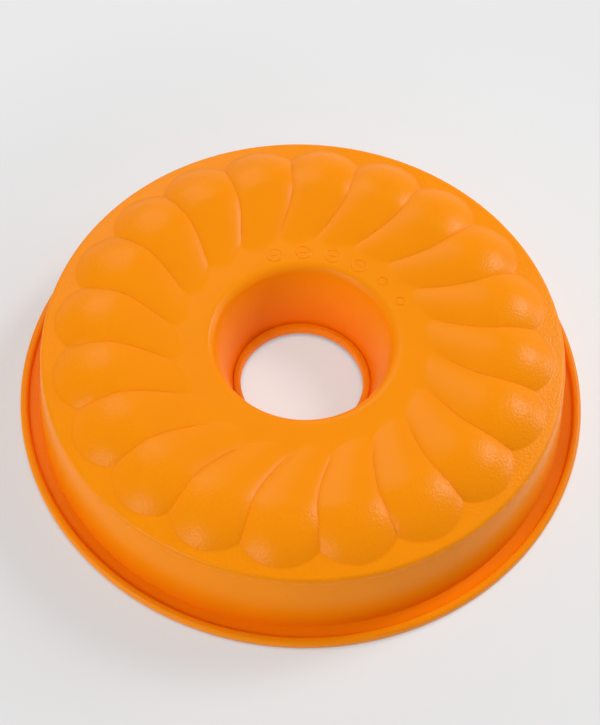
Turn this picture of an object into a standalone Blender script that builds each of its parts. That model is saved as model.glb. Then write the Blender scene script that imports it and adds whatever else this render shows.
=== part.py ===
"""Ring-shaped silicone cake mould with swirled flutes, lying on its rim with the crown up.

The moulding is one thin shell of even thickness. It is built here as its separate zones: the
beaded rim, the flat flange, the drafted outer wall with its rounded shoulder, the fluted crown,
the plain ring round the hole, the centre cone and the lip at the cone's foot. Each zone is a
solid of its own that meets its neighbours edge to edge across JOINT_GAP.

Frame: metres, +Z up, origin at the centre of the rim's flat underside.
Every radius is worked out from the rim inwards or from the cone's foot outwards.
"""

import math

import bmesh
import bpy

# Rim
RIM_RADIUS = 0.1300
BEAD_WIDTH = 0.0038
BEAD_HEIGHT = 0.0042
BEAD_TOP_ROUNDING = 0.0015
BEAD_FOOT_ROUNDING = 0.0006
FLANGE_WIDTH = 0.0048
FLANGE_THICKNESS = 0.0022

# Shell
SHELL_THICKNESS = 0.0015
WALL_DRAFT = math.radians(7.1)
SHOULDER_HEIGHT = 0.0390
SHOULDER_ROUNDING = 0.0020
SHOULDER_LAND = 0.0010

# Fluted crown
FLUTE_COUNT = 20
FLUTE_RISE = 0.0064
FLUTE_NOSE_LENGTH = 0.0220
FLUTE_NOSE_POWER = 2.6
FLUTE_CROSS_RADIUS = 0.0480
FLUTE_RIDGE_SOFTNESS = 0.0050
FLUTE_SWIRL = math.radians(10.5)
FLUTE_SWIRL_POWER = 2.0
CROWN_OUTER_MARGIN = 0.0034
CROWN_INNER_MARGIN = 0.0020

# Plain ring and hole
RING_DROP = 0.0004
RING_WIDTH = 0.0086
HOLE_ROUNDING = 0.0050
CONE_DRAFT = math.radians(14.2)
CONE_FOOT_LIFT = 0.0020
CONE_FOOT_RADIUS = 0.0312
LIP_WIDTH = 0.0024
LIP_HEIGHT = 0.0042
LIP_ROUNDING = 0.0012

# Fits and fineness
JOINT_GAP = 0.0003
TURNED_STEPS = 80
COLUMNS_PER_FLUTE = 6
CLIMB_ROWS = 6
NOSE_ROWS = 4
ROUNDING_STEPS = 4
HOLE_ROUNDING_STEPS = 6
LIP_ROUNDING_STEPS = 3
CHAMFER_STEPS = 1
SEARCH_HALVINGS = 40
SHARP_ANGLE = math.radians(40.0)

SILICONE_ORANGE = (0.95, 0.29, 0.012, 1.0)
SILICONE_ROUGHNESS = 0.45
MERGE_DISTANCE = 0.00001

HALF_TURN = math.pi
QUARTER_TURN = math.pi / 2

# Radii and heights that follow from the sizes above
BEAD_INNER_RADIUS = RIM_RADIUS - BEAD_WIDTH
FLANGE_OUTER_RADIUS = BEAD_INNER_RADIUS - JOINT_GAP
WALL_FOOT_RADIUS = BEAD_INNER_RADIUS - FLANGE_WIDTH
RING_HEIGHT = SHOULDER_HEIGHT - RING_DROP
PEAK_HEIGHT = SHOULDER_HEIGHT + FLUTE_RISE


def wall_radius(height):
    """Outer face of the drafted wall."""
    return WALL_FOOT_RADIUS - height * math.tan(WALL_DRAFT)


def cone_radius(height):
    """Face of the centre cone that looks at the axis."""
    return CONE_FOOT_RADIUS + (height - CONE_FOOT_LIFT) * math.tan(CONE_DRAFT)


def rounding_reach(radius, draft):
    """How far a rounding between a level face and a drafted wall runs along each of them."""
    return radius * math.tan((QUARTER_TURN - draft) / 2)


SHOULDER_START_RADIUS = wall_radius(SHOULDER_HEIGHT) - rounding_reach(SHOULDER_ROUNDING, WALL_DRAFT)
HOLE_START_RADIUS = cone_radius(RING_HEIGHT) + rounding_reach(HOLE_ROUNDING, CONE_DRAFT)

CROWN_OUTER_RADIUS = SHOULDER_START_RADIUS - SHOULDER_LAND
CROWN_INNER_RADIUS = HOLE_START_RADIUS + RING_WIDTH
FLUTE_OUTER_RADIUS = CROWN_OUTER_RADIUS - CROWN_OUTER_MARGIN
FLUTE_INNER_RADIUS = CROWN_INNER_RADIUS + CROWN_INNER_MARGIN
FLUTE_PEAK_RADIUS = FLUTE_OUTER_RADIUS - FLUTE_NOSE_LENGTH


def arc(centre, radius, start_angle, end_angle, steps):
    """Points along an arc in the (radius, height) plane, ends included."""
    points = []
    for step in range(steps + 1):
        angle = start_angle + (end_angle - start_angle) * step / steps
        points.append((centre[0] + radius * math.cos(angle), centre[1] + radius * math.sin(angle)))
    return points


def silicone(name):
    """Satin orange silicone."""
    material = bpy.data.materials.new(name)
    material.use_nodes = True
    shader = material.node_tree.nodes["Principled BSDF"]
    shader.inputs["Base Color"].default_value = SILICONE_ORANGE
    shader.inputs["Roughness"].default_value = SILICONE_ROUGHNESS
    shader.inputs["Metallic"].default_value = 0.0
    material.diffuse_color = SILICONE_ORANGE
    return material


def finished(obj, mould):
    """Gives a zone its material and parent and shades its round faces smooth."""
    bpy.context.scene.collection.objects.link(obj)
    obj.data.materials.append(silicone(obj.name + "_silicone"))
    obj.data.shade_smooth()
    obj.data.set_sharp_from_angle(angle=SHARP_ANGLE)
    obj.parent = mould
    return obj


def turned(name, profile, mould):
    """Ring turned round Z from a closed profile that runs down its outer side."""
    mesh = bpy.data.meshes.new(name)
    points = [(radius, 0.0, height) for radius, height in profile]
    edges = [(i, (i + 1) % len(points)) for i in range(len(points))]
    mesh.from_pydata(points, edges, [])
    obj = finished(bpy.data.objects.new(name, mesh), mould)
    screw = obj.modifiers.new("turn", "SCREW")
    screw.axis = "Z"
    screw.angle = math.tau
    screw.steps = TURNED_STEPS
    screw.render_steps = TURNED_STEPS
    screw.use_merge_vertices = True
    screw.merge_threshold = MERGE_DISTANCE
    screw.use_smooth_shade = True
    return obj


def rim_bead(mould):
    """Thick rounded bead round the edge. It is flat underneath, where the mould lies on it."""
    inner = BEAD_INNER_RADIUS
    top = BEAD_TOP_ROUNDING
    foot = BEAD_FOOT_ROUNDING
    profile = arc((inner + top, BEAD_HEIGHT - top), top, HALF_TURN, QUARTER_TURN, ROUNDING_STEPS)
    profile += arc((RIM_RADIUS - top, BEAD_HEIGHT - top), top, QUARTER_TURN, 0.0, ROUNDING_STEPS)
    profile += arc((RIM_RADIUS - foot, foot), foot, 0.0, -QUARTER_TURN, CHAMFER_STEPS)
    profile += [(inner, 0.0)]
    return turned("rim_bead", profile, mould)


def rim_flange(mould):
    """Flat band between the bead and the wall's foot."""
    top_inner = wall_radius(FLANGE_THICKNESS) + JOINT_GAP
    foot_inner = wall_radius(0.0) + JOINT_GAP
    profile = [
        (top_inner, FLANGE_THICKNESS),
        (FLANGE_OUTER_RADIUS, FLANGE_THICKNESS),
        (FLANGE_OUTER_RADIUS, 0.0),
        (foot_inner, 0.0),
    ]
    return turned("rim_flange", profile, mould)


def outer_wall(mould):
    """Drafted wall whose top turns in through the shoulder to a narrow land against the crown."""
    start_radius = CROWN_OUTER_RADIUS + JOINT_GAP
    centre = (SHOULDER_START_RADIUS, SHOULDER_HEIGHT - SHOULDER_ROUNDING)
    bend = SHOULDER_ROUNDING - SHELL_THICKNESS
    outside = arc(centre, SHOULDER_ROUNDING, QUARTER_TURN, WALL_DRAFT, ROUNDING_STEPS)
    inside = arc(centre, bend, WALL_DRAFT, QUARTER_TURN, ROUNDING_STEPS)
    across = SHELL_THICKNESS / math.cos(WALL_DRAFT)
    foot = [(wall_radius(0.0), 0.0), (wall_radius(0.0) - across, 0.0)]
    land = [(start_radius, SHOULDER_HEIGHT - SHELL_THICKNESS), (start_radius, SHOULDER_HEIGHT)]
    profile = outside + foot + inside + land
    return turned("outer_wall", profile, mould)


def plain_ring(mould):
    """Plain ring inside the flutes, rolled down into the hole as far as the cone."""
    outer_radius = CROWN_INNER_RADIUS - JOINT_GAP
    centre = (HOLE_START_RADIUS, RING_HEIGHT - HOLE_ROUNDING)
    bend = HOLE_ROUNDING - SHELL_THICKNESS
    end_angle = HALF_TURN - CONE_DRAFT
    face = arc(centre, HOLE_ROUNDING, end_angle, QUARTER_TURN, HOLE_ROUNDING_STEPS)
    back = arc(centre, bend, QUARTER_TURN, end_angle, HOLE_ROUNDING_STEPS)
    edge = [(outer_radius, RING_HEIGHT), (outer_radius, RING_HEIGHT - SHELL_THICKNESS)]
    return turned("plain_ring", face + edge + back, mould)


def centre_cone(mould):
    """Tapered tube through the middle. Its top is cut square to its wall, against the ring."""
    fall = HOLE_ROUNDING * (1 - math.sin(CONE_DRAFT)) + JOINT_GAP * math.cos(CONE_DRAFT)
    top = RING_HEIGHT - fall
    face_top = (cone_radius(top), top)
    back_top = (
        face_top[0] + SHELL_THICKNESS * math.cos(CONE_DRAFT),
        face_top[1] - SHELL_THICKNESS * math.sin(CONE_DRAFT),
    )
    across = SHELL_THICKNESS / math.cos(CONE_DRAFT)
    foot = CONE_FOOT_LIFT
    profile = [face_top, back_top, (CONE_FOOT_RADIUS + across, foot), (CONE_FOOT_RADIUS, foot)]
    return turned("centre_cone", profile, mould)


def centre_lip(mould):
    """Small beaded lip inside the cone's foot, which stops just short of the rim's plane."""
    foot = CONE_FOOT_LIFT
    top = foot + LIP_HEIGHT
    outer = CONE_FOOT_RADIUS - JOINT_GAP
    inner = outer - LIP_WIDTH
    corner = LIP_ROUNDING
    profile = arc((inner + corner, top - corner), corner, HALF_TURN, QUARTER_TURN, LIP_ROUNDING_STEPS)
    profile += [(cone_radius(top) - JOINT_GAP, top), (outer, foot), (inner, foot)]
    return turned("centre_lip", profile, mould)


def flute_base(radius):
    """Height that the flutes stand on: it climbs from the plain ring to the outer margin."""
    share = (radius - FLUTE_INNER_RADIUS) / (FLUTE_OUTER_RADIUS - FLUTE_INNER_RADIUS)
    share = min(max(share, 0.0), 1.0)
    return RING_HEIGHT + RING_DROP * share * share * (3 - 2 * share)


def flute_ridge(radius):
    """Height of a flute along its middle: a long even climb, a soft ridge and a round nose."""
    if radius >= FLUTE_PEAK_RADIUS:
        share = (radius - FLUTE_PEAK_RADIUS) / FLUTE_NOSE_LENGTH
        return PEAK_HEIGHT - FLUTE_RISE * share**FLUTE_NOSE_POWER
    length = FLUTE_PEAK_RADIUS - FLUTE_INNER_RADIUS
    back = FLUTE_PEAK_RADIUS - radius
    soft = FLUTE_RIDGE_SOFTNESS
    fall = math.hypot(back, soft) - soft
    whole_fall = math.hypot(length, soft) - soft
    return PEAK_HEIGHT - (PEAK_HEIGHT - RING_HEIGHT) * fall / whole_fall


def flute_height(radius, across):
    """Height above the base at a share across the flute, from -1 to 1 between its two valleys."""
    half_width = radius * math.pi / FLUTE_COUNT
    sag = (across * half_width) ** 2 / (2 * FLUTE_CROSS_RADIUS)
    return flute_ridge(radius) - sag - flute_base(radius)


def flute_end(across, end_radius):
    """Radius where a flute runs out into its base, searched from an end towards the peak."""
    outside = end_radius
    inside = FLUTE_PEAK_RADIUS
    for _ in range(SEARCH_HALVINGS):
        middle = (outside + inside) / 2
        if flute_height(middle, across) > 0:
            inside = middle
        else:
            outside = middle
    return (outside + inside) / 2


def swirl(radius):
    """Angle by which the flutes lean, growing towards the hole."""
    length = FLUTE_PEAK_RADIUS - FLUTE_INNER_RADIUS
    share = max(FLUTE_PEAK_RADIUS - radius, 0.0) / length
    return FLUTE_SWIRL * share**FLUTE_SWIRL_POWER


def crown_column(across):
    """(radius, height) points of the crown's face from the ring to the shoulder."""
    first = flute_end(across, FLUTE_INNER_RADIUS)
    last = flute_end(across, FLUTE_OUTER_RADIUS)
    climb = FLUTE_PEAK_RADIUS - first
    nose = last - FLUTE_PEAK_RADIUS
    radii = [first + climb * row / CLIMB_ROWS for row in range(CLIMB_ROWS)]
    radii += [FLUTE_PEAK_RADIUS + nose * row / NOSE_ROWS for row in range(NOSE_ROWS + 1)]
    points = [(CROWN_INNER_RADIUS, RING_HEIGHT)]
    for radius in radii:
        height = flute_base(radius) + max(flute_height(radius, across), 0.0)
        points.append((radius, height))
    points.append((CROWN_OUTER_RADIUS, SHOULDER_HEIGHT))
    return points


def fluted_crown(mould):
    """Crown with its ring of swirled flutes: one grid of faces, thickened downwards."""
    shape = bmesh.new()
    columns = []
    for flute in range(FLUTE_COUNT):
        for column in range(COLUMNS_PER_FLUTE):
            across = 2 * column / COLUMNS_PER_FLUTE - 1
            turn = math.tau * (flute + column / COLUMNS_PER_FLUTE) / FLUTE_COUNT
            points = []
            for radius, height in crown_column(across):
                angle = turn + swirl(radius)
                place = (radius * math.cos(angle), radius * math.sin(angle), height)
                points.append(shape.verts.new(place))
            columns.append(points)
    for i, here in enumerate(columns):
        there = columns[(i + 1) % len(columns)]
        for row in range(len(here) - 1):
            shape.faces.new((here[row], here[row + 1], there[row + 1], there[row]))
    mesh = bpy.data.meshes.new("fluted_crown")
    shape.to_mesh(mesh)
    shape.free()
    obj = finished(bpy.data.objects.new("fluted_crown", mesh), mould)
    shell = obj.modifiers.new("shell", "SOLIDIFY")
    shell.thickness = SHELL_THICKNESS
    shell.offset = -1.0
    shell.use_rim = True
    return obj


def main():
    for obj in list(bpy.data.objects):
        bpy.data.objects.remove(obj)
    mould = bpy.data.objects.new("mould", None)
    bpy.context.scene.collection.objects.link(mould)
    rim_bead(mould)
    rim_flange(mould)
    outer_wall(mould)
    fluted_crown(mould)
    plain_ring(mould)
    centre_cone(mould)
    centre_lip(mould)


main()
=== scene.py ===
"""Looks of a ring-shaped silicone cake mould with swirled flutes, built round its packed solids.

The moulding is made of three meshes that meet in its creases: the shell, the rim's edge and the
lip at the foot of the centre cone. Each is turned from a closed profile. A node tree raises the
flutes on the shell, and another one sets the ring marks on the plain ring round the hole.

Metres, +Z up, origin at the centre of the rim's flat underside.
"""

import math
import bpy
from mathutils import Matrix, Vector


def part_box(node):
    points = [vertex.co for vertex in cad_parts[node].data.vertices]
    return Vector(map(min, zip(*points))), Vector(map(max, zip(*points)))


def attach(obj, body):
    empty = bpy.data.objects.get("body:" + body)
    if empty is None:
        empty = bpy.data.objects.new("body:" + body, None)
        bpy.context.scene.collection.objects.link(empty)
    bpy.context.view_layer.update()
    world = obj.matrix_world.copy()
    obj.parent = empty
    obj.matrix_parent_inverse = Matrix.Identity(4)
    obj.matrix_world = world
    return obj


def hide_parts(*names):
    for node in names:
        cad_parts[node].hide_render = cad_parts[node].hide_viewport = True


bl_info = {
    "name": "Fluted Ring Cake Mould",
    "version": (1, 0, 0),
    "blender": (4, 5, 0),
    "location": "View3D > Sidebar > Cake Mould",
    "description": "Builds a silicone ring cake mould with swirled flutes, and its stage",
    "category": "Object",
}

import bmesh
import bpy
from bpy.props import FloatProperty, FloatVectorProperty, IntProperty, PointerProperty
from mathutils import Matrix, Vector

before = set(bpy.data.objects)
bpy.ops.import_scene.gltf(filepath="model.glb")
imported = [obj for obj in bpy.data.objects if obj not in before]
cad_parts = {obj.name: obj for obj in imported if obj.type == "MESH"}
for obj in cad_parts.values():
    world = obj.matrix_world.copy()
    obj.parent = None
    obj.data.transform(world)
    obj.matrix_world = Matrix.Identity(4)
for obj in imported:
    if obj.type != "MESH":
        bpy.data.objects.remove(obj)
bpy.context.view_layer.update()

RIM_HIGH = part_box("rim_bead")[1]
FLANGE_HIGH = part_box("rim_flange")[1]
WALL_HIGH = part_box("outer_wall")[1]
CROWN_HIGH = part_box("fluted_crown")[1]
RING_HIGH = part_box("plain_ring")[1]
CONE_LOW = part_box("centre_cone")[0]
LIP_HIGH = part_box("centre_lip")[1]

HALF_TURN = math.pi
QUARTER_TURN = math.pi / 2
BODY = "root"


def number_property(name, description, default, **limits):
    """A plain number."""
    return FloatProperty(name=name, description=description, default=default, **limits)


def length_property(name, description, metres):
    """A length in metres."""
    return number_property(name, description, metres, unit="LENGTH")


def angle_property(name, description, degrees):
    """An angle, given in degrees."""
    return number_property(name, description, math.radians(degrees), subtype="ANGLE")


def power_property(name, description, watts):
    """A lamp's power in watts."""
    return number_property(name, description, watts, unit="POWER")


def share_property(name, description, share):
    """A number from 0 to 1."""
    return number_property(name, description, share, min=0.0, max=1.0)


def colour_property(name, description, colour):
    """A colour with its red, green and blue."""
    looks = {"subtype": "COLOR", "size": 3, "min": 0.0, "max": 1.0}
    return FloatVectorProperty(name=name, description=description, default=colour, **looks)


class RimSizes(bpy.types.PropertyGroup):
    """Sizes of the beaded edge and the flat flange inside it."""

    radius: length_property("Rim radius", "Outer radius of the bead", RIM_HIGH.x)
    bead_width: length_property("Bead width", "Width of the bead round the edge", 0.0038)
    bead_height: length_property(
        "Bead height", "Height of the bead above the surface that the mould lies on", RIM_HIGH.z
    )
    bead_rounding: length_property(
        "Bead rounding", "Radius of the two upper corners of the bead", 0.0015
    )
    foot_rounding: length_property(
        "Foot rounding", "Radius of the bead's lower outer corner", 0.0006
    )
    flange_thickness: length_property(
        "Flange thickness",
        "Thickness of the flat band between the bead and the wall",
        FLANGE_HIGH.z,
    )
    flange_fillet: length_property(
        "Flange fillet", "Radius in the corner between the flange and the bead", 0.0004
    )


class ShellSizes(bpy.types.PropertyGroup):
    """Sizes of the wall, the shoulder, the plain ring and the centre cone."""

    thickness: length_property("Thickness", "Thickness of the silicone", 0.0015)
    wall_foot_radius: length_property(
        "Wall foot radius", "Outer radius of the wall at its foot", WALL_HIGH.x
    )
    wall_draft: angle_property("Wall draft", "Angle by which the wall leans inwards", 7.1)
    shoulder_height: length_property(
        "Shoulder height",
        "Height of the plain margin at its outer edge, where the shoulder starts",
        WALL_HIGH.z - 0.0010,
    )
    shoulder_rounding: length_property(
        "Shoulder rounding", "Radius of the shoulder between the wall and the crown", 0.0020
    )
    groove_height: length_property(
        "Groove height",
        "Height of the fine groove round the wall, just under the shoulder",
        0.0346,
    )
    groove_width: length_property(
        "Groove width", "Width of the fine groove round the wall", 0.0020
    )
    groove_depth: length_property(
        "Groove depth", "Depth of the fine groove round the wall", 0.00014
    )
    ring_height: length_property(
        "Ring height", "Height of the plain ring round the hole", RING_HIGH.z
    )
    hole_rounding: length_property(
        "Hole rounding", "Radius by which the plain ring rolls down into the hole", 0.0050
    )
    cone_draft: angle_property("Cone draft", "Angle by which the centre cone opens upwards", 14.2)
    cone_foot_radius: length_property(
        "Cone foot radius", "Radius of the centre cone at its foot", 0.0312
    )
    cone_foot_lift: length_property(
        "Cone foot lift",
        "Height of the cone's foot above the surface that the mould lies on",
        CONE_LOW.z,
    )


class LipSizes(bpy.types.PropertyGroup):
    """Sizes of the small bead at the foot of the centre cone."""

    width: length_property("Lip width", "Width of the lip, from the cone to the opening", 0.0027)
    top: length_property("Lip top", "Height of the lip's top", LIP_HIGH.z)
    rounding: length_property("Lip rounding", "Radius of the lip's upper corners", 0.0012)


class FluteSizes(bpy.types.PropertyGroup):
    """Sizes of the swirled flutes on the crown."""

    count: IntProperty(
        name="Flutes",
        description="Number of flutes round the crown",
        default=20,
        min=3,
    )
    peak_height: length_property("Peak height", "Height of a flute's highest point", CROWN_HIGH.z)
    outer_radius: length_property(
        "Outer radius", "Radius at which the noses of the flutes run out", 0.1116
    )
    inner_radius: length_property(
        "Inner radius", "Radius at which the tips of the flutes run out", 0.05495
    )
    crest_radius: length_property(
        "Crest radius", "Radius at which the surface between the flutes is highest", 0.104
    )
    crest_height: length_property(
        "Crest height", "Height of the surface between the flutes at its crest", 0.0393
    )
    nose_length: length_property(
        "Nose length", "Length of a flute's round nose, from its peak outwards", 0.0230
    )
    nose_power: number_property(
        "Nose power", "How late the nose turns down: 2 is an even curve", 2.4
    )
    nose_crowning: number_property(
        "Nose crowning", "How much more a flute is curved across at the end of its nose", 0.3
    )
    cross_radius: length_property(
        "Cross radius", "Radius of a flute's section across its length", 0.0480
    )
    ridge_softness: length_property(
        "Ridge softness", "How softly the climb of a flute turns over into its nose", 0.0050
    )
    swirl: angle_property("Swirl", "Angle by which the flutes lean at their inner tips", 10.5)
    swirl_power: number_property("Swirl power", "How strongly the lean gathers near the hole", 2.0)
    valley_softness: length_property(
        "Valley softness", "Half width of the rounding at the bottom of a valley", 0.00030
    )
    edge_roll_depth: length_property(
        "Edge roll depth", "How much further a flute rolls down beside a valley", 0.00025
    )
    edge_roll_width: length_property(
        "Edge roll width", "Width of the roll beside a valley", 0.0010
    )
    edge_softness: length_property(
        "Edge softness", "Height over which a flute blends into its base", 0.00040
    )


class MarkSizes(bpy.types.PropertyGroup):
    """Sizes of the raised ring marks on the plain ring."""

    count: IntProperty(
        name="Marks",
        description="Number of ring marks",
        default=6,
        min=1,
    )
    radius: length_property("Mark radius", "Outer radius of one ring mark", 0.0037)
    small_count: IntProperty(
        name="Small marks",
        description="How many of the ring marks are small and empty",
        default=2,
        min=0,
    )
    small_scale: number_property(
        "Small mark size", "Size of the small marks, as a share of the large ones", 0.62
    )
    bar_length: length_property(
        "Bar length", "Length of the short bar inside a large mark", 0.0030
    )
    line_width: length_property("Line width", "Width of a ring mark's raised line", 0.0005)
    line_height: length_property("Line height", "Height of a ring mark's raised line", 0.00022)
    circle_radius: length_property(
        "Circle radius", "Distance of the marks' centres from the mould's axis", 0.0490
    )
    first_angle: angle_property("First angle", "Direction of the first mark, a small one", 23.1)
    pitch: angle_property("Pitch", "Angle from one mark to the next", 15.9)


class SiliconeFinish(bpy.types.PropertyGroup):
    """Colour and surface of the silicone."""

    colour: colour_property("Colour", "Colour of the silicone", (0.97, 0.282, 0.001))
    roughness: share_property("Roughness", "Roughness of the smooth silicone", 0.30)
    grain_size: length_property(
        "Grain size", "Size of one pebble of the grain on the noses", 0.0010
    )
    grain_depth: length_property("Grain depth", "Depth of the grain on the noses", 0.00012)
    crease_width: length_property(
        "Crease width", "Half width of the fine crease in a valley and round a nose", 0.00032
    )
    crease_depth: length_property(
        "Crease depth", "Depth of the fine crease in a valley and round a nose", 0.00010
    )
    # Painted shade: this tint darkens and reddens the colour in the creases, where shade falls
    crease_tint: colour_property(
        "Crease tint", "How the colour changes in a crease", (0.97, 0.86, 0.76)
    )
    # Painted shade: this tint darkens and reddens the colour towards the foot of the wall and of
    # the cone
    foot_tint: colour_property(
        "Foot tint",
        "How the colour deepens towards the foot of the wall and of the cone",
        (0.97, 0.78, 0.70),
    )


class StudioSettings(bpy.types.PropertyGroup):
    """Floor, lamps and camera."""

    floor_colour: colour_property("Floor colour", "Colour of the floor", (0.9, 0.9, 0.9))
    backdrop_level: share_property(
        "Backdrop level",
        "Brightness of the backdrop, and of the open floor where no shadow falls",
        0.823,
    )
    ceiling_level: share_property(
        "Ceiling level",
        "Brightness of the ceiling overhead, as the silicone's gloss shows it",
        0.3,
    )
    shadow_share: share_property(
        "Shadow share", "How much of its shading the floor shows to the camera", 0.56
    )
    floor_light: number_property(
        "Floor light", "Brightness of the shaded floor in the open", 0.945, min=0.0
    )
    ambient: number_property(
        "Ambient", "Brightness of the even light from all round", 0.285, min=0.0
    )
    key_power: power_property(
        "Key lamp", "Power of the soft lamp behind the mould on the right", 8.2
    )
    side_power: power_property("Side lamp", "Power of the low soft lamp on the right", 4.6)
    left_power: power_property("Left lamp", "Power of the soft lamp on the left", 7.0)
    front_power: power_property(
        "Front lamp", "Power of the low soft lamp in front of the mould on the left", 4.6
    )
    back_power: power_property("Back lamp", "Power of the soft lamp behind the mould", 4.0)
    table_power: power_property(
        "Table lamp",
        "Power of the soft lamp overhead, which lights only the floor",
        10.0,
    )
    camera_distance: length_property(
        "Camera distance", "Distance from the camera to the mould's origin", 0.6784
    )
    camera_elevation: angle_property(
        "Camera elevation", "Angle of the camera above the floor", 57.79
    )
    camera_turn: angle_property(
        "Camera turn", "Direction from which the camera looks, clockwise from the front", 5.9
    )
    camera_lens: number_property("Lens", "Focal length on a sensor that is 36 mm wide", 86.96)


SETTINGS = {
    "mould_rim": RimSizes,
    "mould_shell": ShellSizes,
    "mould_lip": LipSizes,
    "mould_flutes": FluteSizes,
    "mould_marks": MarkSizes,
    "mould_silicone": SiliconeFinish,
    "mould_studio": StudioSettings,
}


class Field:
    """A number that flows through a node tree. Arithmetic on it adds math nodes to the tree."""

    def __init__(self, tree, socket):
        self.tree = tree
        self.socket = socket

    def math(self, operation, *others):
        node = self.tree.nodes.new("ShaderNodeMath")
        node.operation = operation
        for slot, value in zip(node.inputs, (self, *others)):
            connect(self.tree, value, slot)
        return Field(self.tree, node.outputs[0])

    def __add__(self, other):
        return self.math("ADD", other)

    def __sub__(self, other):
        return self.math("SUBTRACT", other)

    def __radd__(self, other):
        return self.math("ADD", other)

    def __rsub__(self, other):
        return self.math("MULTIPLY_ADD", -1.0, other)

    def __mul__(self, other):
        return self.math("MULTIPLY", other)

    def __truediv__(self, other):
        return self.math("DIVIDE", other)

    def __pow__(self, other):
        return self.math("POWER", other)


def connect(tree, value, slot):
    """Feeds a socket from a field or a plain value."""
    if isinstance(value, Field):
        tree.links.new(value.socket, slot)
    else:
        slot.default_value = value


def arc(centre, radius, start_angle, end_angle, steps):
    """Points along an arc in the (radius, height) plane, ends included."""
    points = []
    for step in range(steps + 1):
        angle = start_angle + (end_angle - start_angle) * step / steps
        points.append((centre[0] + radius * math.cos(angle), centre[1] + radius * math.sin(angle)))
    return points


def line(start, end, steps):
    """Points along a straight line, without its end."""
    points = []
    for step in range(steps):
        share = step / steps
        points.append(tuple(a + (b - a) * share for a, b in zip(start, end)))
    return points


def turned_mesh(name, profile, angles):
    """Closed ring turned round Z from a closed profile that runs down its outer side."""
    rows = len(profile)
    points = []
    for angle in angles:
        for radius, height in profile:
            points.append((radius * math.cos(angle), radius * math.sin(angle), height))
    faces = []
    for column in range(len(angles)):
        here = column * rows
        there = (column + 1) % len(angles) * rows
        for row in range(rows):
            after = (row + 1) % rows
            faces.append((here + row, here + after, there + after, there + row))
    mesh = bpy.data.meshes.new(name)
    mesh.from_pydata(points, [], faces)
    mesh.shade_smooth()
    obj = bpy.data.objects.new(name, mesh)
    bpy.context.scene.collection.objects.link(obj)
    return obj


def even_angles(steps):
    """Directions of evenly spaced columns round the axis."""
    return [math.tau * step / steps for step in range(steps)]


COLUMNS_PER_FLUTE = 32
VALLEY_CROWDING = 0.6


def flute_angles(count):
    """Directions of columns that crowd towards the valleys between the flutes."""
    angles = []
    for flute in range(count):
        for column in range(COLUMNS_PER_FLUTE):
            share = column / COLUMNS_PER_FLUTE
            share -= VALLEY_CROWDING * math.sin(math.tau * share) / math.tau
            angles.append(math.tau * (flute + share) / count)
    return angles


SHARP_ANGLE = math.radians(38.0)


def lit_group(name):
    """Collection of the objects that some of the lamps light alone."""
    return bpy.data.collections.get(name) or bpy.data.collections.new(name)


def finish_piece(obj, *nodes):
    """Gives a piece the silicone and hides the solids that it stands for."""
    lit_group("mould").objects.link(obj)
    obj.data.set_sharp_from_angle(angle=SHARP_ANGLE)
    if not obj.data.materials:
        obj.data.materials.append(shared_silicone())
    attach(obj, BODY)
    if nodes:
        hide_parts(*nodes)


def around_axis(tree, coordinates):
    """Distance from the mould's axis, and height."""
    split = tree.nodes.new("ShaderNodeSeparateXYZ")
    tree.links.new(coordinates, split.inputs[0])
    across, along, height = (Field(tree, socket) for socket in split.outputs)
    return (across * across + along * along).math("SQRT"), height


def object_noise(tree, coordinates, scale, detail):
    """Noise in the piece's own space."""
    noise = tree.nodes.new("ShaderNodeTexNoise")
    tree.links.new(coordinates, noise.inputs["Vector"])
    noise.inputs["Scale"].default_value = scale
    noise.inputs["Detail"].default_value = detail
    return Field(tree, noise.outputs["Fac"])


def between(value, low, high):
    """Smooth climb from 0 to 1 as a value goes from low to high."""
    tree = value.tree
    node = tree.nodes.new("ShaderNodeMapRange")
    node.interpolation_type = "SMOOTHSTEP"
    connect(tree, value, node.inputs["Value"])
    connect(tree, low, node.inputs["From Min"])
    connect(tree, high, node.inputs["From Max"])
    return Field(tree, node.outputs["Result"])


def bell(value, width):
    """1 where a value is 0, falling off smoothly to either side."""
    share = value / width
    return (share * share * -1.0).math("EXPONENT")


def stored(tree, name):
    """A number that the flute tree stored on the shell. Other pieces read 0."""
    attribute = tree.nodes.new("ShaderNodeAttribute")
    attribute.attribute_type = "GEOMETRY"
    attribute.attribute_name = name
    return Field(tree, attribute.outputs["Fac"])


def tinted(tree, colour, share, tint):
    """Colour multiplied by a tint to the given share."""
    mix = tree.nodes.new("ShaderNodeMix")
    mix.data_type = "RGBA"
    mix.blend_type = "MULTIPLY"
    tree.links.new(share.socket, mix.inputs["Factor"])
    tree.links.new(colour, mix.inputs["A"])
    mix.inputs["B"].default_value = (*tint, 1.0)
    return mix.outputs["Result"]


VALLEY_NEAR = "valley_near"
VALLEY_REACH = 0.003
FLUTE_LIFT = "flute_lift"
LIFT_SHIFT = 0.010
CREASE_START_LIFT = 0.0002
CREASE_FULL_LIFT = 0.0012
OUTLINE_START_RADIUS = 0.094
OUTLINE_FULL_RADIUS = 0.102
OUTLINE_SHARE = 0.4
GRAIN_START_RADIUS = 0.080
GRAIN_FULL_RADIUS = 0.092
GRAIN_LOW_HEIGHT = 0.030
GRAIN_HIGH_HEIGHT = 0.040
# Heights over which the painted shade at the foot fades out
FOOT_SHADE_HEIGHT = 0.002
FOOT_SHADE_END_HEIGHT = 0.026
BEAD_RADIUS = 0.1262
LIP_RADIUS = 0.0315
LIP_HEIGHT = 0.0065
EDGE_BLEND = 0.0004
MOTTLE_SCALE = 45.0
MOTTLE_DARK = 0.965
MOTTLE_BRIGHT = 1.03
FINE_SCALE = 1600.0
FINE_SHARE = 0.5
GRAIN_EVERYWHERE = 0.1
GLOSS_SCALE = 120.0
GLOSS_SWING = 0.08
GRAIN_GLOSS = 0.05
SPECULAR_LEVEL = 0.125
SILICONE_IOR = 1.45
MILLIMETRE = 0.001


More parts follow.
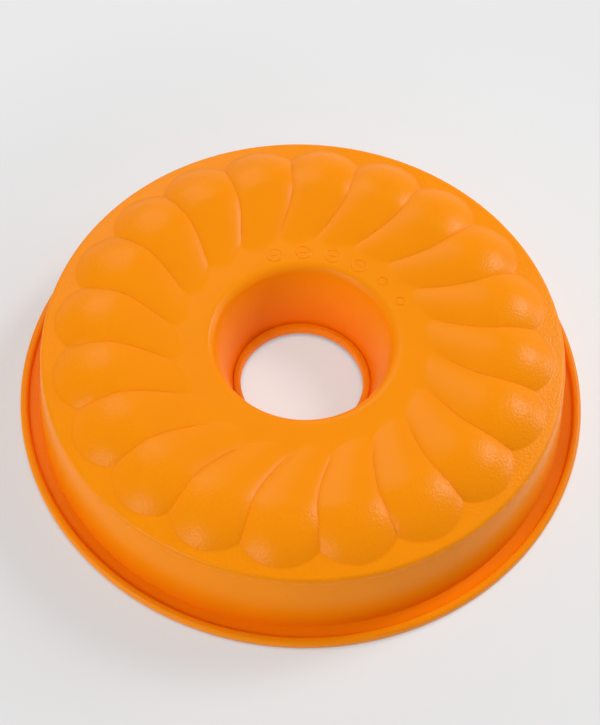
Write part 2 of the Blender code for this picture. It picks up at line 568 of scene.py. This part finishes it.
def silicone():
    """Satin silicone: faint mottling, a pebble grain on the noses, fine creases and a deeper foot,
    the creases and foot darkened by painted shade.
    """
    finish = bpy.context.scene.mould_silicone
    material = bpy.data.materials.new("orange_silicone")
    material.use_nodes = True
    tree = material.node_tree
    shader = tree.nodes["Principled BSDF"]
    place = tree.nodes.new("ShaderNodeTexCoord").outputs["Object"]
    radius, height = around_axis(tree, place)
    grained = between(radius, GRAIN_START_RADIUS, GRAIN_FULL_RADIUS)
    grained = grained * between(height, GRAIN_LOW_HEIGHT, GRAIN_HIGH_HEIGHT)

    # Creases in the valleys and round the noses: dented by the bump, and darkened with painted
    # shade
    lift = stored(tree, FLUTE_LIFT) - LIFT_SHIFT
    valley = bell(stored(tree, VALLEY_NEAR) - VALLEY_REACH, finish.crease_width)
    valley = valley * between(lift, CREASE_START_LIFT, CREASE_FULL_LIFT)
    outline = bell(lift, finish.crease_width)
    outline = outline * between(radius, OUTLINE_START_RADIUS, OUTLINE_FULL_RADIUS) * OUTLINE_SHARE
    crease = (valley + outline).math("MINIMUM", 1.0)

    # Painted shade: the colour darkens and reddens towards the foot of the wall and of the cone,
    # without the rim's bead and the lip
    foot = 1.0 - between(height, FOOT_SHADE_HEIGHT, FOOT_SHADE_END_HEIGHT)
    foot = foot * (1.0 - between(radius, BEAD_RADIUS - EDGE_BLEND, BEAD_RADIUS))
    above_lip = between(height, LIP_HEIGHT - EDGE_BLEND, LIP_HEIGHT)
    foot = foot * between(radius, LIP_RADIUS - EDGE_BLEND, LIP_RADIUS).math("MAXIMUM", above_lip)

    mottle = object_noise(tree, place, MOTTLE_SCALE, 3.0)
    tint = tree.nodes.new("ShaderNodeMix")
    tint.data_type = "RGBA"
    colour = Vector(finish.colour)
    tint.inputs["A"].default_value = (*(colour * MOTTLE_DARK), 1.0)
    tint.inputs["B"].default_value = (*(colour * MOTTLE_BRIGHT), 1.0)
    tree.links.new(mottle.socket, tint.inputs["Factor"])
    # Painted shade towards the foot
    painted = tinted(tree, tint.outputs["Result"], foot, finish.foot_tint)
    # Painted shade in the creases
    painted = tinted(tree, painted, crease, finish.crease_tint)
    tree.links.new(painted, shader.inputs["Base Color"])

    pebbles = tree.nodes.new("ShaderNodeTexVoronoi")
    pebbles.feature = "SMOOTH_F1"
    pebbles.inputs["Scale"].default_value = 1.0 / finish.grain_size
    tree.links.new(place, pebbles.inputs["Vector"])
    pebble = Field(tree, pebbles.outputs["Distance"])
    fine = object_noise(tree, place, FINE_SCALE, 2.0)
    grain = pebble * -1.0 + fine * FINE_SHARE
    grain = grain * (grained * (1.0 - GRAIN_EVERYWHERE) + GRAIN_EVERYWHERE)
    relief = grain * (finish.grain_depth / MILLIMETRE)
    relief = relief - crease * (finish.crease_depth / MILLIMETRE)
    bump = tree.nodes.new("ShaderNodeBump")
    bump.inputs["Distance"].default_value = MILLIMETRE
    bump.inputs["Strength"].default_value = 1.0
    tree.links.new(relief.socket, bump.inputs["Height"])
    tree.links.new(bump.outputs["Normal"], shader.inputs["Normal"])

    swing = object_noise(tree, place, GLOSS_SCALE, 2.0) * GLOSS_SWING
    roughness = swing + (finish.roughness - GLOSS_SWING / 2) - grained * GRAIN_GLOSS
    tree.links.new(roughness.socket, shader.inputs["Roughness"])
    shader.inputs["Specular IOR Level"].default_value = SPECULAR_LEVEL
    shader.inputs["IOR"].default_value = SILICONE_IOR
    return material


def shared_silicone():
    """The one silicone material that all the pieces take."""
    return bpy.data.materials.get("orange_silicone") or silicone()


def wall_radius(shell, height):
    """Outer face of the drafted wall."""
    return shell.wall_foot_radius - height * math.tan(shell.wall_draft)


def cone_radius(shell, height):
    """Face of the centre cone that looks at the axis."""
    return shell.cone_foot_radius + (height - shell.cone_foot_lift) * math.tan(shell.cone_draft)


def rounding_reach(radius, draft):
    """How far a rounding between a level face and a drafted wall runs along each of them."""
    return radius * math.tan((QUARTER_TURN - draft) / 2)


def shoulder_start(shell):
    """Radius at which the level margin turns into the shoulder's rounding."""
    reach = rounding_reach(shell.shoulder_rounding, shell.wall_draft)
    return wall_radius(shell, shell.shoulder_height) - reach


def margin_slope(shell, flutes):
    """How steeply the plain margin falls from the crest to the shoulder."""
    fall = flutes.crest_height - shell.shoulder_height
    return fall / (shoulder_start(shell) - flutes.crest_radius)


def crown_base(shell, flutes, radius):
    """Height that the flutes stand on: up from the plain ring to a crest, then gently down."""
    share = (radius - flutes.inner_radius) / (flutes.crest_radius - flutes.inner_radius)
    share = min(max(share, 0.0), 1.0)
    climb = (flutes.crest_height - shell.ring_height) * share * share * (3 - 2 * share)
    fall = max(radius - flutes.crest_radius, 0.0) * margin_slope(shell, flutes)
    return shell.ring_height + climb - fall


WALL_ROWS = 3
SHOULDER_ROWS = 5
MARGIN_ROWS = 4
NOSE_END_ROWS = 32
CLIMB_ROWS = 46
NOSE_END_RADIUS = 0.0995
RING_ROWS = 3
ROLL_ROWS = 8
CONE_ROWS = 3
BACK_WALL_ROWS = 2
BACK_SHOULDER_ROWS = 3
BACK_CROWN_ROWS = 24
BACK_RING_ROWS = 2
BACK_ROLL_ROWS = 5
BACK_CONE_ROWS = 2
GROOVE_SHARES = ((1.0, 0.0), (0.5, 0.6), (0.0, 1.0), (-0.5, 0.6), (-1.0, 0.0))


def crown_line(shell, flutes, start, end, drop, rows):
    """Points of the crown's base from one radius to another, lowered by drop, without the end."""
    points = []
    for row in range(rows):
        radius = start + (end - start) * row / rows
        points.append((radius, crown_base(shell, flutes, radius) - drop))
    return points


def shell_profile(shell, flutes):
    """Closed section of the shell: up the cone, over the crown, down the wall, and back inside."""
    edge = shoulder_start(shell)
    hole_start = cone_radius(shell, shell.ring_height)
    hole_start += rounding_reach(shell.hole_rounding, shell.cone_draft)
    shoulder_centre = (edge, shell.shoulder_height - shell.shoulder_rounding)
    roll_centre = (hole_start, shell.ring_height - shell.hole_rounding)
    roll_end = HALF_TURN - shell.cone_draft
    wall_across = shell.thickness / math.cos(shell.wall_draft)
    cone_across = shell.thickness / math.cos(shell.cone_draft)
    foot = shell.cone_foot_lift
    cone_foot = (cone_radius(shell, foot), foot)
    cone_back_foot = (cone_foot[0] + cone_across, foot)
    wall_foot = (wall_radius(shell, 0.0), 0.0)
    wall_back_foot = (wall_foot[0] - wall_across, 0.0)

    face_roll = arc(roll_centre, shell.hole_rounding, roll_end, QUARTER_TURN, ROLL_ROWS)
    face_shoulder = arc(
        shoulder_centre, shell.shoulder_rounding, QUARTER_TURN, shell.wall_draft, SHOULDER_ROWS
    )
    back_bend = shell.shoulder_rounding - shell.thickness
    back_shoulder = arc(
        shoulder_centre, back_bend, shell.wall_draft, QUARTER_TURN, BACK_SHOULDER_ROWS
    )
    back_roll_bend = shell.hole_rounding - shell.thickness
    back_roll = arc(roll_centre, back_roll_bend, QUARTER_TURN, roll_end, BACK_ROLL_ROWS)
    groove = []
    for step, depth in GROOVE_SHARES:
        level = shell.groove_height + step * shell.groove_width / 2
        groove.append((wall_radius(shell, level) - depth * shell.groove_depth, level))

    face = line(cone_foot, face_roll[0], CONE_ROWS) + face_roll[:-1]
    face += line(face_roll[-1], (flutes.inner_radius, shell.ring_height), RING_ROWS)
    stops = (flutes.inner_radius, NOSE_END_RADIUS, flutes.outer_radius, edge)
    for start, end, rows in zip(stops, stops[1:], (CLIMB_ROWS, NOSE_END_ROWS, MARGIN_ROWS)):
        face += crown_line(shell, flutes, start, end, 0.0, rows)
    face += face_shoulder[:-1] + line(face_shoulder[-1], groove[0], 1) + groove[:-1]
    face += line(groove[-1], wall_foot, WALL_ROWS) + [wall_foot]
    back = line(wall_back_foot, back_shoulder[0], BACK_WALL_ROWS) + back_shoulder[:-1]
    back += crown_line(
        shell, flutes, edge, flutes.inner_radius, shell.thickness, BACK_CROWN_ROWS
    )
    back += line((flutes.inner_radius, back_roll[0][1]), back_roll[0], BACK_RING_ROWS)
    back += back_roll[:-1] + line(back_roll[-1], cone_back_foot, BACK_CONE_ROWS)
    return face + back + [cone_back_foot]


def new_input(tree, name, kind):
    """Adds a named input to a geometry node tree."""
    tree.interface.new_socket(name=name, in_out="INPUT", socket_type=kind)


def set_inputs(modifier, groups, values):
    """Sets a modifier's inputs by their identifiers, from settings of the same name or values."""
    for group in groups:
        for setting in type(group).__annotations__:
            values.setdefault(setting.replace("_", " ").title(), getattr(group, setting))
    for item in modifier.node_group.interface.items_tree:
        if item.in_out == "INPUT" and item.name in values:
            modifier[item.identifier] = values[item.name]


def made_plain(obj):
    """Turns the result of an object's modifiers into its plain mesh."""
    graph = bpy.context.evaluated_depsgraph_get()
    mesh = bpy.data.meshes.new_from_object(obj.evaluated_get(graph))
    obj.modifiers.clear()
    old = obj.data
    obj.data = mesh
    bpy.data.meshes.remove(old)
    mesh.name = obj.name


FLUTE_INPUTS = (
    "Flutes",
    "Peak Height",
    "Ring Height",
    "Crest Radius",
    "Crest Height",
    "Margin Slope",
    "Outer Radius",
    "Inner Radius",
    "Nose Length",
    "Nose Power",
    "Nose Crowning",
    "Cross Radius",
    "Ridge Softness",
    "Swirl",
    "Swirl Power",
    "Valley Softness",
    "Edge Roll Depth",
    "Edge Roll Width",
    "Edge Softness",
)


def flute_tree():
    """Node tree that raises and swirls the flutes on a turned shell."""
    tree = bpy.data.node_groups.new("swirled_flutes", "GeometryNodeTree")
    new_input(tree, "Geometry", "NodeSocketGeometry")
    for name in FLUTE_INPUTS:
        new_input(tree, name, "NodeSocketFloat")
    new_input(tree, "Material", "NodeSocketMaterial")
    tree.interface.new_socket(name="Geometry", in_out="OUTPUT", socket_type="NodeSocketGeometry")
    source = tree.nodes.new("NodeGroupInput")
    size = {name: Field(tree, source.outputs[name]) for name in FLUTE_INPUTS}

    position = tree.nodes.new("GeometryNodeInputPosition").outputs[0]
    split = tree.nodes.new("ShaderNodeSeparateXYZ")
    tree.links.new(position, split.inputs[0])
    x, y, _ = (Field(tree, socket) for socket in split.outputs)
    radius = (x * x + y * y).math("SQRT")
    turn = y.math("ARCTAN2", x)

    # Distance from the nearest valley, rounded off at its bottom
    half_width = radius * math.pi / size["Flutes"]
    across = (turn * size["Flutes"] / math.tau).math("FRACT")
    from_valley = (1.0 - (across * 2.0 - 1.0).math("ABSOLUTE")) * half_width
    valley = size["Valley Softness"]
    near = (VALLEY_REACH - from_valley).math("MAXIMUM", 0.0)
    from_valley = (from_valley * from_valley + valley * valley).math("SQRT") - valley
    from_middle = half_width - from_valley
    sag = from_middle * from_middle / (size["Cross Radius"] * 2.0)
    peak_radius = size["Outer Radius"] - size["Nose Length"]
    outside = (radius - peak_radius).math("MAXIMUM", 0.0) / size["Nose Length"]
    sag = sag * (1.0 + outside * outside * size["Nose Crowning"])
    roll = (from_valley * -1.0 / size["Edge Roll Width"]).math("EXPONENT")
    sag = sag + roll * size["Edge Roll Depth"]

    # Height along the middle: an even climb, a soft ridge and a round nose
    whole_rise = size["Peak Height"] - size["Ring Height"]
    nose = whole_rise * outside ** size["Nose Power"]
    inside = (peak_radius - radius).math("MAXIMUM", 0.0)
    length = peak_radius - size["Inner Radius"]
    soft = size["Ridge Softness"]
    fall = (inside * inside + soft * soft).math("SQRT") - soft
    whole_fall = (length * length + soft * soft).math("SQRT") - soft
    climb = whole_rise * fall / whole_fall
    ridge = size["Peak Height"] - nose - climb

    crest = size["Crest Radius"]
    climbed = between(radius, size["Inner Radius"], crest)
    base = size["Ring Height"] + (size["Crest Height"] - size["Ring Height"]) * climbed
    base = base - (radius - crest).math("MAXIMUM", 0.0) * size["Margin Slope"]
    clear = ridge - sag - base
    lift = clear.math("SMOOTH_MAX", 0.0, size["Edge Softness"])
    lean = (inside / length).math("MINIMUM", 1.0) ** size["Swirl Power"] * size["Swirl"]

    raised = tree.nodes.new("ShaderNodeCombineXYZ")
    tree.links.new(lift.socket, raised.inputs["Z"])
    turned = tree.nodes.new("ShaderNodeVectorRotate")
    turned.rotation_type = "Z_AXIS"
    tree.links.new(position, turned.inputs["Vector"])
    tree.links.new(lean.socket, turned.inputs["Angle"])
    placed = tree.nodes.new("GeometryNodeSetPosition")
    geometry = kept(tree, source.outputs["Geometry"], VALLEY_NEAR, near)
    geometry = kept(tree, geometry, FLUTE_LIFT, clear + LIFT_SHIFT)
    tree.links.new(geometry, placed.inputs["Geometry"])
    tree.links.new(turned.outputs[0], placed.inputs["Position"])
    tree.links.new(raised.outputs[0], placed.inputs["Offset"])
    finish_tree(tree, source, placed.outputs[0])
    return tree


def kept(tree, geometry, name, value):
    """Keeps a number on the geometry's points under a name, for the material to read."""
    node = tree.nodes.new("GeometryNodeStoreNamedAttribute")
    node.data_type = "FLOAT"
    node.domain = "POINT"
    node.inputs["Name"].default_value = name
    tree.links.new(geometry, node.inputs["Geometry"])
    tree.links.new(value.socket, node.inputs["Value"])
    return node.outputs["Geometry"]


def finish_tree(tree, source, geometry):
    """Ends a tree in realized instances with the material set."""
    real = tree.nodes.new("GeometryNodeRealizeInstances")
    painted = tree.nodes.new("GeometryNodeSetMaterial")
    end = tree.nodes.new("NodeGroupOutput")
    tree.links.new(geometry, real.inputs[0])
    tree.links.new(real.outputs[0], painted.inputs["Geometry"])
    tree.links.new(source.outputs["Material"], painted.inputs["Material"])
    tree.links.new(painted.outputs[0], end.inputs[0])


class MOULD_OT_build_shell(bpy.types.Operator):
    """Build the shell: cone, plain ring, fluted crown, shoulder and wall"""

    bl_idname = "mould.build_shell"
    bl_label = "Build Shell"

    def execute(self, context):
        shell = context.scene.mould_shell
        flutes = context.scene.mould_flutes
        profile = shell_profile(shell, flutes)
        obj = turned_mesh("fluted_shell", profile, flute_angles(flutes.count))
        modifier = obj.modifiers.new("flutes", "NODES")
        modifier.node_group = flute_tree()
        values = {
            "Flutes": float(flutes.count),
            "Margin Slope": margin_slope(shell, flutes),
            "Material": shared_silicone(),
        }
        set_inputs(modifier, (shell, flutes), values)
        made_plain(obj)
        finish_piece(obj, "outer_wall", "fluted_crown", "plain_ring", "centre_cone")
        return {"FINISHED"}


RIM_STEPS = 720
BEAD_ROWS = 6
FLANGE_ROWS = 3
FILLET_ROWS = 3
FOOT_ROWS = 4
UNDERSIDE_ROWS = 2
SEATING = 0.0002


class MOULD_OT_build_rim(bpy.types.Operator):
    """Build the rim's edge: the flat flange and the bead round it"""

    bl_idname = "mould.build_rim"
    bl_label = "Build Rim"

    def execute(self, context):
        rim = context.scene.mould_rim
        shell = context.scene.mould_shell
        top = rim.bead_rounding
        foot = rim.foot_rounding
        fillet = rim.flange_fillet
        bead_inner = rim.radius - rim.bead_width
        level = rim.flange_thickness
        start = wall_radius(shell, level) - SEATING
        corner = (bead_inner - fillet, level + fillet)
        profile = line((start, level), (bead_inner - fillet, level), FLANGE_ROWS)
        profile += arc(corner, fillet, -QUARTER_TURN, 0.0, FILLET_ROWS)
        crest = rim.bead_height - top
        profile += arc((bead_inner + top, crest), top, HALF_TURN, QUARTER_TURN, BEAD_ROWS)
        profile += arc((rim.radius - top, crest), top, QUARTER_TURN, 0.0, BEAD_ROWS)
        profile += arc((rim.radius - foot, foot), foot, 0.0, -QUARTER_TURN, FOOT_ROWS)
        inner_foot = (wall_radius(shell, 0.0) - SEATING, 0.0)
        profile += line((bead_inner, 0.0), inner_foot, UNDERSIDE_ROWS) + [inner_foot]
        obj = turned_mesh("rim_edge", profile, even_angles(RIM_STEPS))
        finish_piece(obj, "rim_bead", "rim_flange")
        return {"FINISHED"}


LIP_STEPS = 360
LIP_ROWS = 5


class MOULD_OT_build_lip(bpy.types.Operator):
    """Build the small bead at the foot of the centre cone"""

    bl_idname = "mould.build_lip"
    bl_label = "Build Lip"

    def execute(self, context):
        lip = context.scene.mould_lip
        shell = context.scene.mould_shell
        foot = shell.cone_foot_lift
        outer = shell.cone_foot_radius + SEATING
        inner = shell.cone_foot_radius - lip.width
        corner = lip.rounding
        crest = lip.top - corner
        outer_top = cone_radius(shell, crest) + SEATING
        profile = arc((inner + corner, crest), corner, HALF_TURN, QUARTER_TURN, LIP_ROWS)
        profile += arc((outer_top - corner, crest), corner, QUARTER_TURN, 0.0, LIP_ROWS)
        profile += [(outer, foot), (inner, foot)]
        obj = turned_mesh("lip_bead", profile, even_angles(LIP_STEPS))
        finish_piece(obj, "centre_lip")
        return {"FINISHED"}


MARK_INPUTS = (
    "Small Scale",
    "Mark Radius",
    "Bar Length",
    "Line Width",
    "Line Height",
    "Ring Height",
    "Circle Radius",
    "First Angle",
    "Pitch",
)
MARK_STEPS = 48
LINE_SIDES = 8


def strip(tree, path, line_radius):
    """Round closed line that follows a path."""
    section = tree.nodes.new("GeometryNodeCurvePrimitiveCircle")
    section.inputs["Resolution"].default_value = LINE_SIDES
    tree.links.new(line_radius.socket, section.inputs["Radius"])
    swept = tree.nodes.new("GeometryNodeCurveToMesh")
    swept.inputs["Fill Caps"].default_value = True
    tree.links.new(path, swept.inputs["Curve"])
    tree.links.new(section.outputs[0], swept.inputs["Profile Curve"])
    return swept.outputs[0]


def mark_tree():
    """Node tree that sets raised rings, most of them with a short bar inside, round a circle."""
    tree = bpy.data.node_groups.new("ring_marks", "GeometryNodeTree")
    new_input(tree, "Geometry", "NodeSocketGeometry")
    new_input(tree, "Marks", "NodeSocketInt")
    new_input(tree, "Small Marks", "NodeSocketInt")
    for name in MARK_INPUTS:
        new_input(tree, name, "NodeSocketFloat")
    new_input(tree, "Material", "NodeSocketMaterial")
    tree.interface.new_socket(name="Geometry", in_out="OUTPUT", socket_type="NodeSocketGeometry")
    source = tree.nodes.new("NodeGroupInput")
    size = {name: Field(tree, source.outputs[name]) for name in MARK_INPUTS}
    line_radius = size["Line Width"] * 0.5

    circle = tree.nodes.new("GeometryNodeCurvePrimitiveCircle")
    circle.inputs["Resolution"].default_value = MARK_STEPS
    connect(tree, size["Mark Radius"] - line_radius, circle.inputs["Radius"])
    bar = tree.nodes.new("GeometryNodeCurvePrimitiveLine")
    for end, side in (("Start", -0.5), ("End", 0.5)):
        corner = tree.nodes.new("ShaderNodeCombineXYZ")
        connect(tree, size["Bar Length"] * side, corner.inputs["Y"])
        tree.links.new(corner.outputs[0], bar.inputs[end])
    ring = strip(tree, circle.outputs[0], line_radius)
    both = tree.nodes.new("GeometryNodeJoinGeometry")
    tree.links.new(ring, both.inputs[0])
    tree.links.new(strip(tree, bar.outputs[0], line_radius), both.inputs[0])

    index = Field(tree, tree.nodes.new("GeometryNodeInputIndex").outputs[0])
    turn = size["First Angle"] + index * size["Pitch"]
    place = tree.nodes.new("ShaderNodeCombineXYZ")
    connect(tree, turn.math("COSINE") * size["Circle Radius"], place.inputs["X"])
    connect(tree, turn.math("SINE") * size["Circle Radius"], place.inputs["Y"])
    connect(tree, size["Ring Height"] + size["Line Height"] - line_radius, place.inputs["Z"])
    spots = tree.nodes.new("GeometryNodeMeshLine")
    tree.links.new(source.outputs["Marks"], spots.inputs["Count"])
    set_out = tree.nodes.new("GeometryNodeSetPosition")
    tree.links.new(spots.outputs[0], set_out.inputs["Geometry"])
    tree.links.new(place.outputs[0], set_out.inputs["Position"])
    tilt = tree.nodes.new("ShaderNodeCombineXYZ")
    connect(tree, turn, tilt.inputs["Z"])
    small = index.math("LESS_THAN", Field(tree, source.outputs["Small Marks"]))

    placed = []
    kinds = ((ring, small, size["Small Scale"]), (both.outputs[0], 1.0 - small, 1.0))
    for shape, chosen, scale in kinds:
        copies = tree.nodes.new("GeometryNodeInstanceOnPoints")
        tree.links.new(set_out.outputs[0], copies.inputs["Points"])
        connect(tree, chosen, copies.inputs["Selection"])
        tree.links.new(shape, copies.inputs["Instance"])
        tree.links.new(tilt.outputs[0], copies.inputs["Rotation"])
        size_of_copy = tree.nodes.new("ShaderNodeCombineXYZ")
        connect(tree, scale, size_of_copy.inputs["X"])
        connect(tree, scale, size_of_copy.inputs["Y"])
        size_of_copy.inputs["Z"].default_value = 1.0
        tree.links.new(size_of_copy.outputs[0], copies.inputs["Scale"])
        placed.append(copies.outputs[0])
    every = tree.nodes.new("GeometryNodeJoinGeometry")
    for copies in placed:
        tree.links.new(copies, every.inputs[0])
    finish_tree(tree, source, every.outputs[0])
    return tree


class MOULD_OT_build_marks(bpy.types.Operator):
    """Build the small raised ring marks on the plain ring"""

    bl_idname = "mould.build_marks"
    bl_label = "Build Ring Marks"

    def execute(self, context):
        marks = context.scene.mould_marks
        shell = context.scene.mould_shell
        mesh = bpy.data.meshes.new("ring_marks")
        obj = bpy.data.objects.new("ring_marks", mesh)
        context.scene.collection.objects.link(obj)
        modifier = obj.modifiers.new("marks", "NODES")
        modifier.node_group = mark_tree()
        values = {
            "Marks": marks.count,
            "Small Marks": marks.small_count,
            "Mark Radius": marks.radius,
            "Material": shared_silicone(),
        }
        set_inputs(modifier, (shell, marks), values)
        made_plain(obj)
        obj.data.shade_smooth()
        finish_piece(obj)
        return {"FINISHED"}


FLOOR_HALF_SIZE = 3.0
FLOOR_GAP = 0.0001
FLOOR_FADE_RADII = (0.165, 0.28)
LAMP_DISTANCE = 1.5
LAMPS = (
    ("key", 38.0, 42.0, 0.4, None),
    ("side", 22.0, 18.0, 0.5, None),
    ("left", 225.0, 46.0, 0.6, "mould"),
    ("front", 214.0, 18.0, 0.7, "mould"),
    ("back", 112.0, 42.0, 0.7, "mould"),
    ("table", 0.0, 90.0, 0.8, "floor"),
)


def direction(turn, elevation):
    """Unit vector towards a direction, counted anticlockwise from the photograph's right."""
    return Vector(
        (
            math.cos(turn) * math.cos(elevation),
            math.sin(turn) * math.cos(elevation),
            math.sin(elevation),
        )
    )


def soft_lamp(name, turn, elevation, width, power, lights_only):
    """Square soft lamp that faces the mould, and may light only one group of objects."""
    lamp = bpy.data.lights.new(name, "AREA")
    lamp.shape = "SQUARE"
    lamp.size = width
    lamp.energy = power
    # With it, lamps that light only some objects come out too bright.
    lamp.cycles.use_multiple_importance_sampling = False
    obj = bpy.data.objects.new(name, lamp)
    away = direction(turn, elevation)
    obj.location = away * LAMP_DISTANCE
    obj.rotation_euler = away.to_track_quat("Z", "Y").to_euler()
    if lights_only:
        obj.light_linking.receiver_collection = lit_group(lights_only)
    bpy.context.scene.collection.objects.link(obj)


def background_ray(tree):
    """1 for the rays that show the background: seen by the camera, in gloss or through glass."""
    path = tree.nodes.new("ShaderNodeLightPath")
    seen = Field(tree, path.outputs["Is Camera Ray"])
    seen = seen.math("MAXIMUM", Field(tree, path.outputs["Is Glossy Ray"]))
    return seen.math("MAXIMUM", Field(tree, path.outputs["Is Transmission Ray"]))


def mixed(tree, share, first, second):
    """The first shader where the share is 0, the second where it is 1."""
    mix = tree.nodes.new("ShaderNodeMixShader")
    tree.links.new(share.socket, mix.inputs[0])
    tree.links.new(first, mix.inputs[1])
    tree.links.new(second, mix.inputs[2])
    return mix.outputs[0]


def plain_floor(studio):
    """Matt floor just under the mould. It shows its soft shadow, and fades into the backdrop."""
    shape = bmesh.new()
    bmesh.ops.create_grid(shape, x_segments=1, y_segments=1, size=FLOOR_HALF_SIZE)
    mesh = bpy.data.meshes.new("floor")
    shape.to_mesh(mesh)
    shape.free()
    mesh.transform(Matrix.Translation((0.0, 0.0, -FLOOR_GAP)))
    floor = bpy.data.objects.new("floor", mesh)
    bpy.context.scene.collection.objects.link(floor)
    lit_group("floor").objects.link(floor)
    material = bpy.data.materials.new("pale_floor")
    material.use_nodes = True
    tree = material.node_tree
    tree.nodes.remove(tree.nodes["Principled BSDF"])
    colour = Vector(studio.floor_colour)
    matt = tree.nodes.new("ShaderNodeBsdfDiffuse")
    matt.inputs["Color"].default_value = (*colour, 1.0)
    shaded = tree.nodes.new("ShaderNodeBsdfDiffuse")
    shaded.inputs["Color"].default_value = (*(colour * studio.shadow_share), 1.0)
    pale = tree.nodes.new("ShaderNodeEmission")
    pale.inputs["Strength"].default_value = (
        studio.backdrop_level - studio.shadow_share * studio.floor_light
    )
    shown = tree.nodes.new("ShaderNodeAddShader")
    tree.links.new(shaded.outputs[0], shown.inputs[0])
    tree.links.new(pale.outputs[0], shown.inputs[1])
    radius, _ = around_axis(tree, tree.nodes.new("ShaderNodeTexCoord").outputs["Object"])
    backdrop = tree.nodes.new("ShaderNodeEmission")
    backdrop.inputs["Strength"].default_value = studio.backdrop_level
    faded = mixed(tree, between(radius, *FLOOR_FADE_RADII), shown.outputs[0], backdrop.outputs[0])
    either = mixed(tree, background_ray(tree), matt.outputs[0], faded)
    tree.links.new(either, tree.nodes["Material Output"].inputs["Surface"])
    mesh.materials.append(material)


CEILING_HEIGHTS = (0.3, 0.7)


def even_world(studio):
    """Even white light from all round. In gloss the pale backdrop darkens to a dim ceiling."""
    world = bpy.data.worlds.new("even_light")
    world.use_nodes = True
    tree = world.node_tree
    light = tree.nodes["Background"]
    light.inputs["Color"].default_value = (1.0, 1.0, 1.0, 1.0)
    light.inputs["Strength"].default_value = studio.ambient
    backdrop = tree.nodes.new("ShaderNodeBackground")
    backdrop.inputs["Color"].default_value = (1.0, 1.0, 1.0, 1.0)
    split = tree.nodes.new("ShaderNodeSeparateXYZ")
    tree.links.new(tree.nodes.new("ShaderNodeTexCoord").outputs["Generated"], split.inputs[0])
    overhead = between(Field(tree, split.outputs["Z"]), *CEILING_HEIGHTS)
    path = tree.nodes.new("ShaderNodeLightPath")
    overhead = overhead * Field(tree, path.outputs["Is Glossy Ray"])
    level = overhead * (studio.ceiling_level - studio.backdrop_level) + studio.backdrop_level
    tree.links.new(level.socket, backdrop.inputs["Strength"])
    either = mixed(tree, background_ray(tree), light.outputs[0], backdrop.outputs[0])
    tree.links.new(either, tree.nodes["World Output"].inputs["Surface"])
    bpy.context.scene.world = world


CAMERA_PAN = math.radians(0.11)
CAMERA_TILT = math.radians(0.92)
CAMERA_ROLL = math.radians(-2.83)
SENSOR_WIDTH = 36.0
CLIP_START = 0.01


def photo_camera(studio):
    """Camera at the photograph's angle, turned round the mould's axis."""
    data = bpy.data.cameras.new("photo_camera")
    data.sensor_fit = "HORIZONTAL"
    data.sensor_width = SENSOR_WIDTH
    data.lens = studio.camera_lens
    data.clip_start = CLIP_START
    camera = bpy.data.objects.new("photo_camera", data)
    away = direction(-QUARTER_TURN, studio.camera_elevation)
    look = Matrix.Translation(away * studio.camera_distance)
    look @= away.to_track_quat("Z", "Y").to_matrix().to_4x4()
    look @= Matrix.Rotation(CAMERA_PAN, 4, "Y")
    look @= Matrix.Rotation(CAMERA_TILT, 4, "X")
    look @= Matrix.Rotation(-CAMERA_ROLL, 4, "Z")
    camera.matrix_world = Matrix.Rotation(-studio.camera_turn, 4, "Z") @ look
    bpy.context.scene.collection.objects.link(camera)
    bpy.context.scene.camera = camera


class MOULD_OT_build_stage(bpy.types.Operator):
    """Build the floor, the lamps, the even light and the camera"""

    bl_idname = "mould.build_stage"
    bl_label = "Build Stage"

    def execute(self, context):
        studio = context.scene.mould_studio
        plain_floor(studio)
        even_world(studio)
        for name, turn, elevation, width, lights_only in LAMPS:
            turn = math.radians(turn) - studio.camera_turn
            elevation = math.radians(elevation)
            power = getattr(studio, name + "_power")
            soft_lamp(name + "_lamp", turn, elevation, width, power, lights_only)
        photo_camera(studio)
        context.scene.view_settings.view_transform = "Standard"
        return {"FINISHED"}


class MOULD_PT_panel(bpy.types.Panel):
    """Sizes, colours and build buttons of the cake mould"""

    bl_idname = "MOULD_PT_panel"
    bl_label = "Cake Mould"
    bl_space_type = "VIEW_3D"
    bl_region_type = "UI"
    bl_category = "Cake Mould"

    def draw(self, context):
        for name, group in SETTINGS.items():
            box = self.layout.box()
            box.label(text=group.__doc__)
            settings = getattr(context.scene, name)
            for field in group.__annotations__:
                box.prop(settings, field)
        for operator in OPERATORS:
            self.layout.operator(operator.bl_idname)


OPERATORS = (
    MOULD_OT_build_stage,
    MOULD_OT_build_shell,
    MOULD_OT_build_rim,
    MOULD_OT_build_lip,
    MOULD_OT_build_marks,
)
CLASSES = (*SETTINGS.values(), *OPERATORS, MOULD_PT_panel)


def register():
    for item in CLASSES:
        bpy.utils.register_class(item)
    for name, group in SETTINGS.items():
        setattr(bpy.types.Scene, name, PointerProperty(type=group))


def unregister():
    for name in SETTINGS:
        delattr(bpy.types.Scene, name)
    for item in reversed(CLASSES):
        bpy.utils.unregister_class(item)


def main():
    register()
    bpy.ops.mould.build_stage()
    bpy.ops.mould.build_shell()
    bpy.ops.mould.build_rim()
    bpy.ops.mould.build_lip()
    bpy.ops.mould.build_marks()


if __name__ == "__main__":
    main()
